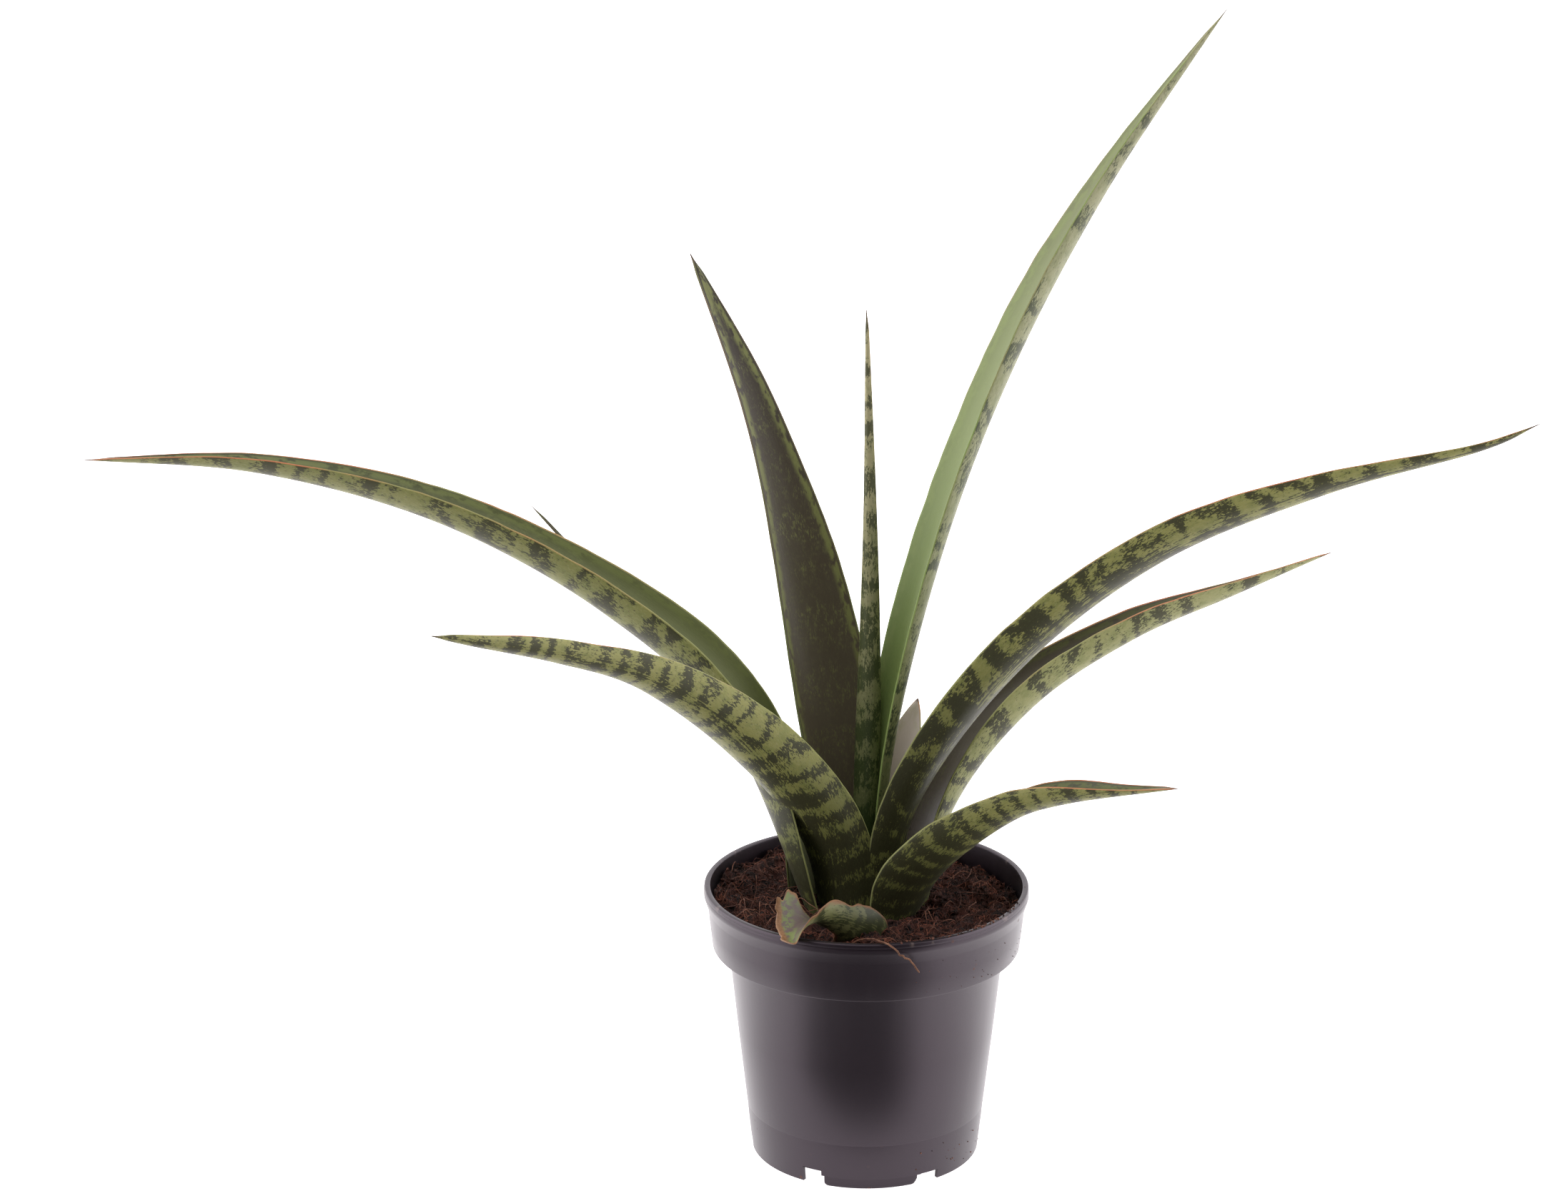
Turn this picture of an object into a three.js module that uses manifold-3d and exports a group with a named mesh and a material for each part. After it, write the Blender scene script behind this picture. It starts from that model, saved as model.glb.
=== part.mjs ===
// Potted snake plant: a moulded nursery pot, its soil, a rosette of ten leaves, a broken curled
// leaf lying over the rim and one root strand. Millimetres, Z up, X to the viewer's right, Y away.
import * as THREE from 'three';
import { mergeVertices } from 'three/addons/utils/BufferGeometryUtils.js';
import Module from 'manifold-3d';

const wasm = await Module();
wasm.setup();

// ---------- driving dimensions ----------
const POT_X = 28;              // pot axis, set so that the whole plant is centred on the origin
const POT_Y = 6;
const GAP = 0.3;               // clearance between separate pieces

const POT_HEIGHT = 105;
const LIP_RADIUS = 60;         // a 12 cm nursery pot
const LIP_HEIGHT = 3.5;        // the rounded lip, above a short slope down to the collar
const LIP_SLOPE = 4.5;
const COLLAR_TOP_RADIUS = 58.6;
const COLLAR_LOW_RADIUS = 56.9;
const COLLAR_HEIGHT = 23.3;    // from the rim down to the step
const STEP_RADIUS = 51.2;
const FOOT_WALL_RADIUS = 42.3;
const MOUTH_RADIUS = 57.4;
const WALL = 1.3;
const WALL_BOTTOM = 1.5;       // the outer wall ends this far above the feet
const FLOOR_UNDERSIDE = 7.5;
const FLOOR_THICKNESS = 1.4;
const FOOT_COUNT = 3;
const FOOT_ARC = 51;           // degrees of each inset foot
const NOTCH_ARC = 10;          // degrees of the open notch at each end of a foot
const NOTCH_TOPS = [7.5, 5.2]; // top of the notch on the foot's left and right
const FOOT_RADIUS = 39.8;
const FOOT_THICKNESS = 1.6;
const FRONT_FOOT_ANGLE = -88;  // centre of the first foot, from +X
const RECESS_HEIGHT = 5;       // the outer wall is cut this high above each foot
const SLOT_LENGTH = 8;         // drain slots run this far in from the wall

const SOIL_LEVEL = 94.5;       // around the crown; it is banked up towards the wall
const SOIL_EDGE = 55;
const SOIL_RELIEF = 0.9;

const CROWN_X = -2;            // the crown, from the pot axis
const CROWN_Y = 6;
const LEAF_FOOT = 84;          // where the leaves start, inside the soil
const LEAF_THICKNESS = 2.4;
const TIP_THICKNESS = 1.1;

// Each leaf: ring = distance of its keel from the crown, azimuth = the way it leans (0 = +X),
// path = reach and height of the keel, width = flattened width, curl = half angle of the channel,
// roll = turn about its own keel. Lists run from foot to tip.
const LEAVES = [
  { name: 'leaf_centre_rolled', ring: -4.6, azimuth: 80, thick: 1.5,
    path: [[0, 84], [8, 162], [14, 241], [10, 320]],
    width: [16, 17.5, 18, 14.5, 10, 6, 2], curl: [110, 110, 110], roll: [180, 160, 163] },
  { name: 'leaf_right_tall', ring: 8, azimuth: 22,
    path: [[0, 84], [4, 152], [23, 227], [50, 293], [86, 355], [134, 420]],
    width: [22, 25.5, 33, 36, 36, 21, 2], curl: [80, 53, 73], roll: [0, -14, -21] },
  { name: 'leaf_back_broad', ring: 11, azimuth: 125,
    path: [[0, 84], [8, 149], [26, 213], [56, 269], [100, 320]],
    width: [25, 33, 36, 30, 20, 12, 2], curl: [65, 45, 39], roll: [0, -11, 0] },
  { name: 'leaf_right_long', ring: 11, azimuth: 345,
    path: [[0, 84], [10, 135], [47, 192], [97, 237], [154, 266], [208, 285.5], [228.5, 296.5]],
    width: [27, 35, 35, 30, 24, 12, 2], curl: [70, 62, 46], roll: [0, -35, -44] },
  { name: 'leaf_left_front', ring: 14, azimuth: 220,
    path: [[0, 84], [7, 124], [39, 168], [79, 201], [120, 220], [160, 234], [177, 240]],
    width: [39, 41, 35, 25, 16, 11, 2], curl: [80, 61, 53], roll: [0, 54, 60] },
  { name: 'leaf_back_young', ring: 18, azimuth: 58, thick: 2,
    path: [[0, 84], [3, 112], [11, 139], [23, 163]],
    width: [20, 22, 22.5, 22, 19, 13, 2], curl: [35, 43, 30], roll: [0, -5, 5] },
  { name: 'leaf_left_long', ring: 16, azimuth: 176,
    path: [[0, 84], [33, 162], [77, 205], [136, 238], [202, 256], [269, 260]],
    width: [32, 49, 50, 41, 33, 20, 2], curl: [54, 86, 80, 66], roll: [-10, 0, 6, 9, 9] },
  { name: 'leaf_right_small', ring: 18, azimuth: 328,
    path: [[0, 84], [14, 111], [43, 138], [68, 151], [112, 165.5]],
    width: [31, 48, 44, 33, 26, 12, 2], curl: [50, 90, 64], roll: [0, -11, 2] },
  { name: 'leaf_left_rear', ring: 28, azimuth: 150, thick: 1.8,
    path: [[0, 84], [9, 140], [40, 174], [80, 199], [115, 227]],
    width: [14, 16, 15, 12, 8, 4, 1.6], curl: [40, 50, 50], roll: [0, 0, 0] },
  { name: 'leaf_right_mid', ring: 25, azimuth: 27,
    path: [[0, 84], [13, 127], [46, 160], [90, 180], [135, 191], [179.5, 202]],
    width: [30, 41, 44, 35, 27, 16, 2], curl: [38, 108, 55], roll: [-10, -13, -28] },
];

// The broken leaf leans over the rim and turns over on the way: its keel, the way its width lies,
// and its channel, from foot to torn end.
const BROKEN = {
  name: 'leaf_broken_curled', thick: 1.6,
  keel: [[5, -22, 84], [3, -30, 96], [-4, -37, 103], [-12, -42, 107], [-21, -45.5, 107.3],
    [-28.5, -47, 107.5], [-34, -48.5, 108]],
  across: [[0.85, 0.3, 0.4], [0.6, 0.15, 0.8], [0.15, 0, 1], [-0.1, -0.3, 1], [-0.25, -0.9, 0.2],
    [-0.3, -0.85, -0.45], [-0.1, -0.75, -0.66]],
  width: [16, 18, 18, 14.5, 18, 28, 18], curl: [45, 50, 52, 56],
};

const ROOT_RADIUS = 0.4;
const ROOT = [[-9, -44, 96], [-6, -49, 101], [-2, -53, 104.6], [1, -56.2, 105.8], [5, -58.8, 105.8],
  [8.5, -61, 104.6], [11.5, -60.7, 101.3], [14.5, -59.6, 99.2], [16.4, -58.9, 96.4], [18, -58.2, 93.6]];

// ---------- small tools ----------
const rad = THREE.MathUtils.degToRad;
const group = new THREE.Group();

function material(colour, roughness) {
  return new THREE.MeshStandardMaterial({ color: colour, roughness, metalness: 0 });
}

function toSolid(geometry) {
  const g = geometry.clone();
  g.deleteAttribute('normal');
  g.deleteAttribute('uv');
  const m = mergeVertices(g, 1e-4);
  const mesh = new wasm.Mesh({
    numProp: 3,
    vertProperties: Float32Array.from(m.attributes.position.array),
    triVerts: Uint32Array.from(m.index.array),
  });
  return new wasm.Manifold(mesh);
}

// The one real body of a cut solid, without the specks that a cut can leave.
function largest(solid) {
  return solid.decompose().sort((a, b) => b.volume() - a.volume())[0];
}

function addPiece(name, solid, colour, roughness) {
  const mesh = solid.translate([POT_X, POT_Y, 0]).getMesh();
  const g = new THREE.BufferGeometry();
  g.setAttribute('position', new THREE.BufferAttribute(Float32Array.from(mesh.vertProperties), 3));
  g.setIndex(new THREE.BufferAttribute(Uint32Array.from(mesh.triVerts), 1));
  g.computeVertexNormals();
  const piece = new THREE.Mesh(g, material(colour, roughness));
  piece.name = name;
  group.add(piece);
}

// A smooth value through evenly spaced numbers, at t from 0 to 1.
function along(values, t) {
  const last = values.length - 1;
  const i = Math.min(Math.floor(t * last), last - 1);
  const u = t * last - i;
  const b = values[i];
  const c = values[i + 1];
  const a = i > 0 ? values[i - 1] : 2 * b - c;
  const d = i + 2 <= last ? values[i + 2] : 2 * c - b;
  return 0.5 * (2 * b + (c - a) * u + (2 * a - 5 * b + 4 * c - d) * u * u
    + (3 * b - a - 3 * c + d) * u * u * u);
}

function lathe(profile, segments) {
  const g = new THREE.LatheGeometry(profile.map(([r, z]) => new THREE.Vector2(r, z)), segments);
  g.rotateX(Math.PI / 2);
  return g;
}

// ---------- leaf shape ----------
const ACROSS = 6;              // steps across each face

// Closed skin over sections; every section lists the outer face, then the inner face backwards.
function skin(sections) {
  const ring = sections[0].length;
  const points = sections.flat();
  const faces = [];
  for (let i = 0; i + 1 < sections.length; i++) {
    for (let j = 0; j < ring; j++) {
      const a = i * ring + j;
      const b = i * ring + ((j + 1) % ring);
      faces.push(a, b, b + ring, a, b + ring, a + ring);
    }
  }
  const half = ring / 2;
  const top = (sections.length - 1) * ring;
  for (let j = 0; j + 1 < half; j++) {           // flat ends, as strips between the two faces
    const k = ring - 1 - j;
    faces.push(j, k, j + 1, j + 1, k, k - 1);
    faces.push(top + j, top + j + 1, top + k, top + j + 1, top + k - 1, top + k);
  }
  const g = new THREE.BufferGeometry();
  g.setAttribute('position', new THREE.Float32BufferAttribute(points.flatMap((p) => p.toArray()), 3));
  g.setIndex(faces);
  return g;
}

// frames: keel point, side and inner-face directions, width, half angle and thickness at each step
function leafSolid(frames, grow) {
  const sections = frames.map((f) => {
    const radius = f.width / (2 * f.angle);
    const thick = Math.min(f.thick, 0.8 * radius, 0.5 * f.width);
    const extra = grow / (radius + grow);
    const outer = [];
    const inner = [];
    for (let j = 0; j <= ACROSS; j++) {
      const s = (2 * j) / ACROSS - 1;
      const turn = s * (f.angle + extra);
      const wall = thick * (1 - 0.6 * s * s);
      const centre = f.keel.clone().addScaledVector(f.inside, radius);
      const out = f.side.clone().multiplyScalar(Math.sin(turn)).addScaledVector(f.inside, -Math.cos(turn));
      outer.push(centre.clone().addScaledVector(out, radius + grow));
      inner.push(centre.clone().addScaledVector(out, Math.max(radius - wall - grow, 0.12 * radius)));
    }
    return outer.concat(inner.reverse());
  });
  return toSolid(skin(sections));
}

function leafFrames(leaf) {
  const a = rad(leaf.azimuth);
  const lean = new THREE.Vector3(Math.cos(a), Math.sin(a), 0);
  const sideways = new THREE.Vector3(-Math.sin(a), Math.cos(a), 0);
  const foot = new THREE.Vector3(CROWN_X, CROWN_Y, 0).addScaledVector(lean, leaf.ring);
  const keel = new THREE.CatmullRomCurve3(
    leaf.path.map(([reach, height]) => foot.clone().addScaledVector(lean, reach).setZ(height)),
    false, 'catmullrom', 0.5);
  keel.arcLengthDivisions = 400;
  const steps = 12 + Math.round(keel.getLength() / 30);
  const frames = [];
  for (let i = 0; i <= steps; i++) {
    const t = i / steps;
    const forward = keel.getTangentAt(t);
    const side = sideways.clone().addScaledVector(forward, -forward.dot(sideways)).normalize();
    const inside = forward.clone().cross(side);
    const roll = rad(along(leaf.roll, t));
    frames.push({
      keel: keel.getPointAt(t),
      side: side.clone().multiplyScalar(Math.cos(roll)).addScaledVector(inside, Math.sin(roll)),
      inside: inside.clone().multiplyScalar(Math.cos(roll)).addScaledVector(side, -Math.sin(roll)),
      width: Math.max(along(leaf.width, t), 1.6),
      angle: rad(along(leaf.curl, t)),
      thick: (leaf.thick ?? LEAF_THICKNESS) * (1 - t) + TIP_THICKNESS * t,
    });
  }
  return frames;
}

function brokenFrames(leaf) {
  const keel = new THREE.CatmullRomCurve3(
    leaf.keel.map((p) => new THREE.Vector3(...p)), false, 'catmullrom', 0.5);
  const frames = [];
  const steps = 18;
  for (let i = 0; i <= steps; i++) {
    const t = i / steps;
    const forward = keel.getTangent(t);
    const side = new THREE.Vector3(...[0, 1, 2].map((k) => along(leaf.across.map((v) => v[k]), t)));
    side.addScaledVector(forward, -forward.dot(side)).normalize();
    frames.push({
      keel: keel.getPoint(t), side, inside: forward.clone().cross(side),
      width: along(leaf.width, t), angle: rad(along(leaf.curl, t)), thick: leaf.thick,
    });
  }
  return frames;
}

function strand(points, radius) {
  const path = new THREE.CatmullRomCurve3(points.map((p) => new THREE.Vector3(...p)));
  const round = new THREE.Shape();
  round.absarc(0, 0, radius, 0, Math.PI * 2);
  return toSolid(new THREE.ExtrudeGeometry(round, {
    steps: 22, curveSegments: 3, bevelEnabled: false, extrudePath: path }));
}

// ---------- pot ----------
function sector(from, to, inner, outer, low, high) {
  const shape = new THREE.Shape();
  shape.absarc(0, 0, outer, rad(from), rad(to), false);
  shape.absarc(0, 0, inner, rad(to), rad(from), true);
  shape.closePath();
  const g = new THREE.ExtrudeGeometry(shape, {
    depth: high - low, curveSegments: Math.max(2, Math.round((to - from) / 4)), bevelEnabled: false });
  g.translate(0, 0, low);
  return toSolid(g);
}

function potSolid() {
  const floorTop = FLOOR_UNDERSIDE + FLOOR_THICKNESS;
  const step = POT_HEIGHT - COLLAR_HEIGHT;
  const lipLow = POT_HEIGHT - LIP_HEIGHT;
  const collarTop = lipLow - LIP_SLOPE;
  const profile = [
    [0, FLOOR_UNDERSIDE], [FOOT_WALL_RADIUS - WALL, FLOOR_UNDERSIDE], [FOOT_WALL_RADIUS - WALL, WALL_BOTTOM],
    [FOOT_WALL_RADIUS - 0.3, WALL_BOTTOM], [FOOT_WALL_RADIUS + 0.3, WALL_BOTTOM + 1.2],
    [STEP_RADIUS, step], [COLLAR_LOW_RADIUS - 0.6, step], [COLLAR_LOW_RADIUS, step + 0.6],
    [COLLAR_TOP_RADIUS, collarTop], [LIP_RADIUS, lipLow],
    [LIP_RADIUS, POT_HEIGHT - 1], [LIP_RADIUS - 1, POT_HEIGHT], [MOUTH_RADIUS + 0.6, POT_HEIGHT],
    [MOUTH_RADIUS, POT_HEIGHT - 0.8], [COLLAR_TOP_RADIUS - WALL, collarTop],
    [COLLAR_LOW_RADIUS - WALL, step + WALL],
    [STEP_RADIUS - WALL, step + WALL], [FOOT_WALL_RADIUS - WALL + 0.4, floorTop], [0, floorTop],
  ];
  let pot = toSolid(lathe(profile, 80));
  for (let i = 0; i < FOOT_COUNT; i++) {
    const mid = FRONT_FOOT_ANGLE + (i * 360) / FOOT_COUNT;
    const half = FOOT_ARC / 2;
    pot = pot.subtract(sector(mid - half, mid + half, FOOT_RADIUS + 0.6, LIP_RADIUS, -1, RECESS_HEIGHT));
    pot = pot.add(sector(mid - half, mid + half, FOOT_RADIUS - FOOT_THICKNESS, FOOT_RADIUS,
      0, FLOOR_UNDERSIDE + 0.4));
    for (const side of [-1, 1]) {
      const notch = mid + side * (half + NOTCH_ARC / 2);
      pot = pot.subtract(sector(notch - NOTCH_ARC / 2, notch + NOTCH_ARC / 2,
        FOOT_WALL_RADIUS - WALL - 1.2, LIP_RADIUS, -1, NOTCH_TOPS[(side + 1) / 2]));
      pot = pot.subtract(sector(notch - 3, notch + 3, FOOT_WALL_RADIUS - WALL - SLOT_LENGTH,
        FOOT_WALL_RADIUS - WALL - 1.2, -1, floorTop + 1));
    }
  }
  return largest(pot);
}

// ---------- soil ----------
function soilHeight(x, y) {
  const wall = Math.hypot(x, y) / SOIL_EDGE;
  const banked = wall * wall * (3.5 - 0.02 * x - 0.0006 * x * y);
  const lumps = Math.sin(x * 0.21 + 1.3) * Math.cos(y * 0.17 - 0.4) + 0.6 * Math.sin(x * 0.09 - y * 0.26);
  return SOIL_LEVEL + banked + SOIL_RELIEF * lumps;
}

function soilSolid() {
  const floorTop = FLOOR_UNDERSIDE + FLOOR_THICKNESS;
  const step = POT_HEIGHT - COLLAR_HEIGHT;
  const low = FOOT_WALL_RADIUS - WALL + 0.4 - GAP - 0.1;
  const collarInside = COLLAR_LOW_RADIUS - WALL - GAP - 0.1;
  const profile = [[0, floorTop + GAP], [low, floorTop + GAP], [STEP_RADIUS - WALL - GAP - 0.1, step + WALL + GAP],
    [collarInside, step + WALL + GAP], [collarInside + 0.7, SOIL_LEVEL - 1],
    [47, SOIL_LEVEL], [38, SOIL_LEVEL], [28, SOIL_LEVEL], [17, SOIL_LEVEL], [8, SOIL_LEVEL], [0, SOIL_LEVEL]];
  const g = lathe(profile, 40);
  const p = g.attributes.position;
  for (let i = 0; i < p.count; i++) {
    if (p.getZ(i) > SOIL_LEVEL - 2) {
      const drop = SOIL_LEVEL - p.getZ(i);
      p.setZ(i, soilHeight(p.getX(i), p.getY(i)) - drop);
    }
  }
  return toSolid(g);
}

// ---------- assembly ----------
const OUTER_GREEN = 0x6f7a4e;
const YOUNG_GREEN = 0x4f7a35;
const GREY_GREEN = 0x7d8763;

const plants = LEAVES.map((leaf) => {
  const frames = leafFrames(leaf);
  return { name: leaf.name, body: leafSolid(frames, 0), grown: leafSolid(frames, GAP),
    colour: /rolled|young/.test(leaf.name) ? YOUNG_GREEN : OUTER_GREEN };
});
const brokenShape = brokenFrames(BROKEN);
plants.push({ name: BROKEN.name, body: leafSolid(brokenShape, 0), grown: leafSolid(brokenShape, GAP),
  colour: GREY_GREEN });

// Where two sheathing bases would meet, the outer leaf gives way and keeps its one largest piece.
for (let i = 0; i < plants.length; i++) {
  for (let j = 0; j < i; j++) {
    if (plants[i].body.intersect(plants[j].grown).volume() > 0.001) {
      plants[i].body = largest(plants[i].body.subtract(plants[j].grown));
    }
  }
}

const potBody = potSolid();
const root = strand(ROOT, ROOT_RADIUS);
let soil = soilSolid();
for (const plant of plants) soil = soil.subtract(plant.grown);
soil = soil.subtract(strand(ROOT, ROOT_RADIUS + GAP));
soil = largest(soil);

addPiece('pot', potBody, 0x3a353a, 0.5);
addPiece('soil', soil, 0x3a211a, 0.95);
for (const plant of plants) addPiece(plant.name, plant.body, plant.colour, 0.55);
addPiece('root_strand', root, 0x8a5a3c, 0.8);

export default group;
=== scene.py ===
"""Potted snake plant: a nursery pot on inset feet, coir soil, ten banded leaves, a torn curled
leaf over the rim and a loose root. Metres, Z up, X to the right, Y away from the front."""
import functools
import math
import random

import bmesh
import bpy
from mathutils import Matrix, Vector, noise


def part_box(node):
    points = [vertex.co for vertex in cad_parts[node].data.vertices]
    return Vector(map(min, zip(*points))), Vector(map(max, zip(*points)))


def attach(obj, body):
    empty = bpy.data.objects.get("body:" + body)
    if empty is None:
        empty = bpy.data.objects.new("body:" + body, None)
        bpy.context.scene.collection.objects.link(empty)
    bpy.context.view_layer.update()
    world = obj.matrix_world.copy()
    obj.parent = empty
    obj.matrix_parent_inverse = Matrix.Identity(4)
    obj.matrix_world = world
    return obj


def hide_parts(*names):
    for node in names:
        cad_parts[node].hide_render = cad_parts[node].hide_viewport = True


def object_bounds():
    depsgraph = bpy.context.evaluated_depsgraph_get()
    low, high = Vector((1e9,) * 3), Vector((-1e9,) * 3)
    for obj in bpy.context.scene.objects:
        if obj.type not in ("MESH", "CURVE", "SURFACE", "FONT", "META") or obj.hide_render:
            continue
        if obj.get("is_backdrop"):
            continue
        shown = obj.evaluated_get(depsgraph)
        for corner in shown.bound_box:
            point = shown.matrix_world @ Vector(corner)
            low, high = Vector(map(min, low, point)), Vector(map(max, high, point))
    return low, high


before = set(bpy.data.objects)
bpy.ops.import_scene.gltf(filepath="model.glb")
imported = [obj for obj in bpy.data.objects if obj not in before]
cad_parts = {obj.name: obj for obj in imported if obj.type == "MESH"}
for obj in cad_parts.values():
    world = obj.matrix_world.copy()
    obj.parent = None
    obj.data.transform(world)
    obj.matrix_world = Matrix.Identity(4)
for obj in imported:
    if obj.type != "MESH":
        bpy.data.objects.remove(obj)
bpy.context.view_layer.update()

# ---- the view and the light ----
# A long lens looks slightly down at the plant, which stands on a plain white light table. The
# light comes softly from both sides, from behind and from the table; the front is left dark.
MM = 0.001
camera = bpy.data.objects.new("camera", bpy.data.cameras.new("camera"))
camera.data.lens = 100.4
camera.data.sensor_width = 36
camera.data.clip_end = 50
camera.location = (-0.0024, -1.497, 0.703)
camera.rotation_euler = (math.radians(72), 0, 0)
bpy.context.scene.collection.objects.link(camera)
bpy.context.scene.camera = camera
bpy.context.scene.view_settings.view_transform = "Standard"


def node(tree, kind, wires=None, **settings):
    """Adds a node. wires gives its inputs, by name or number, as values or other nodes' outputs."""
    made = tree.nodes.new("ShaderNode" + kind)
    for key, value in settings.items():
        setattr(made, key, value)
    for key, value in (wires or {}).items():
        if isinstance(value, bpy.types.NodeSocket):
            tree.links.new(value, made.inputs[key])
        else:
            made.inputs[key].default_value = value
    return made


def rising(tree, value, low, high, start=0.0, end=1.0):
    """Goes smoothly from start to end as value goes from low to high."""
    return node(tree, "MapRange", {"Value": value, "From Min": low, "From Max": high, "To Min": start,
                                   "To Max": end}, interpolation_type="SMOOTHSTEP").outputs[0]


surround = bpy.data.worlds.new("surround")
surround.use_nodes = True
bpy.context.scene.world = surround
sky = surround.node_tree
towards = node(sky, "SeparateXYZ", {0: node(sky, "TexCoord").outputs["Generated"]})
sides = rising(sky, towards.outputs["Y"], -0.74, -0.3, 0.04, 3.7)
behind = rising(sky, towards.outputs["Y"], 0.35, 0.85, 1.0, 0.4)
overhead = rising(sky, towards.outputs["Z"], 0.5, 0.95, 1.0, 0.45)
all_round = node(sky, "Math", {0: sides, 1: behind}, operation="MULTIPLY").outputs[0]
sky.links.new(node(sky, "Math", {0: all_round, 1: overhead}, operation="MULTIPLY").outputs[0],
              sky.nodes["Background"].inputs["Strength"])
sky.nodes["Background"].inputs["Color"].default_value = (1, 0.97, 0.985, 1)


def soft_light(name, place, aim, size, power):
    lamp = bpy.data.lights.new(name, "AREA")
    lamp.size, lamp.energy = size, power
    made = bpy.data.objects.new(name, lamp)
    made.location = place
    made.rotation_euler = (Vector(aim) - Vector(place)).to_track_quat("-Z", "Y").to_euler()
    bpy.context.scene.collection.objects.link(made)


soft_light("light_over_front", place=(-0.5, -1.1, 2.1), aim=(0, 0, 0.2), size=1.3, power=12)

table = bmesh.new()
bmesh.ops.create_circle(table, cap_ends=True, segments=96, radius=12)
floor = bpy.data.objects.new("floor", bpy.data.meshes.new("floor"))
table.to_mesh(floor.data)
table.free()
bpy.context.scene.collection.objects.link(floor)
white = bpy.data.materials.new("white_table")
white.use_nodes = True
top = white.node_tree
# The table is lit all round except in a wedge in front, which the pot mirrors as its dark middle.
spot = node(top, "Mapping", {"Vector": node(top, "TexCoord").outputs["Object"], "Scale": (1, 1, 0)})
ahead = node(top, "SeparateXYZ", {0: spot.outputs[0]}).outputs["Y"]
way = node(top, "VectorMath", {0: spot.outputs[0]}, operation="NORMALIZE")
way_ahead = node(top, "SeparateXYZ", {0: way.outputs[0]}).outputs["Y"]
lit = node(top, "Math", {0: rising(top, ahead, -0.09, -0.05), 1: rising(top, way_ahead, -0.98, -0.45)},
           operation="MAXIMUM").outputs[0]
surface = top.nodes["Principled BSDF"].inputs
top.links.new(rising(top, lit, 0, 1, 0.1, 0.6), surface["Base Color"])
top.links.new(rising(top, lit, 0, 1, 0.16, 1.2), surface["Emission Strength"])
surface["Roughness"].default_value = 0.8
surface["Specular IOR Level"].default_value = 0.1
surface["Emission Color"].default_value = (1, 0.97, 0.985, 1)
floor.data.materials.append(white)
floor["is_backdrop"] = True

# ---- the pot ----
# A thin-walled nursery pot, injection moulded in one piece from dark recycled polypropylene: a
# lipped collar, a tapered wall, a raised floor, and three inset feet with open notches beside them.
pot_low, pot_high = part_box("pot")
AXIS = Vector(((pot_low.x + pot_high.x) / 2, (pot_low.y + pot_high.y) / 2, 0))
POT_HEIGHT = pot_high.z
WALL = 1.3 * MM
SEAM = 19 * MM                    # where the core of the mould starts, a faint line round the wall
FRONT_FOOT = -88                  # degrees, the middle of the first foot
FOOT_HALF = 25.5
NOTCH = 10


def wall_radius(z):
    """The tapered wall's outside, from 42.3 mm at the table to 51.2 mm under the collar."""
    return (42.3 + 8.9 * (z / MM - 1.5) / 80.2) * MM


def turned(bm, profile, closed=False, steps=360):
    """Spins a line of (radius, height) points once round the pot's axis and returns its faces."""
    points = [bm.verts.new((r, 0, z)) for r, z in profile]
    lines = [bm.edges.new(pair) for pair in zip(points, points[1:])]
    if closed:
        lines.append(bm.edges.new((points[-1], points[0])))
    before = set(bm.faces)
    bmesh.ops.spin(bm, geom=points + lines, axis=(0, 0, 1), cent=(0, 0, 0),
                   angle=math.tau, steps=steps, use_merge=True)
    return [f for f in bm.faces if f not in before]


def heading(point):
    """Degrees round the pot from the middle of the nearest foot, negative clockwise of it."""
    return (math.degrees(math.atan2(point.y, point.x)) - FRONT_FOOT + 60) % 120 - 60


pot = bmesh.new()
step_z, lip_z = POT_HEIGHT - 23.3 * MM, POT_HEIGHT - 3.5 * MM
upper = [(r * MM, z) for r, z in [
    (wall_radius(SEAM) / MM - 0.12, SEAM), (wall_radius(SEAM) / MM, SEAM + 0.5 * MM),
    (wall_radius(0.05) / MM, 0.05), (wall_radius(step_z) / MM - 0.3, step_z - 0.9 * MM),
    (wall_radius(step_z) / MM, step_z - 0.25 * MM), (51.6, step_z), (56.2, step_z),
    (56.7, step_z + 0.15 * MM), (56.95, step_z + 0.6 * MM), (57.8, POT_HEIGHT - 15 * MM),
    (58.5, lip_z - 4.9 * MM), (58.65, lip_z - 4.3 * MM), (59.75, lip_z - 0.5 * MM), (60, lip_z),
    (60, POT_HEIGHT - 1.9 * MM), (59.9, POT_HEIGHT - 1.75 * MM), (59.9, POT_HEIGHT - 1.55 * MM),
    (60, POT_HEIGHT - 1.4 * MM), (59.93, POT_HEIGHT - 0.6 * MM), (59.6, POT_HEIGHT - 0.15 * MM),
    (59.1, POT_HEIGHT), (58.1, POT_HEIGHT), (57.7, POT_HEIGHT - 0.2 * MM),
    (57.5, POT_HEIGHT - 0.8 * MM), (57.3, lip_z - 4.5 * MM), (55.6, step_z + WALL + 0.5 * MM),
    (55.1, step_z + WALL), (49.9, step_z + WALL), (wall_radius(SEAM) / MM - 1.3, SEAM)]]
turned(pot, upper, closed=True)

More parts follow.
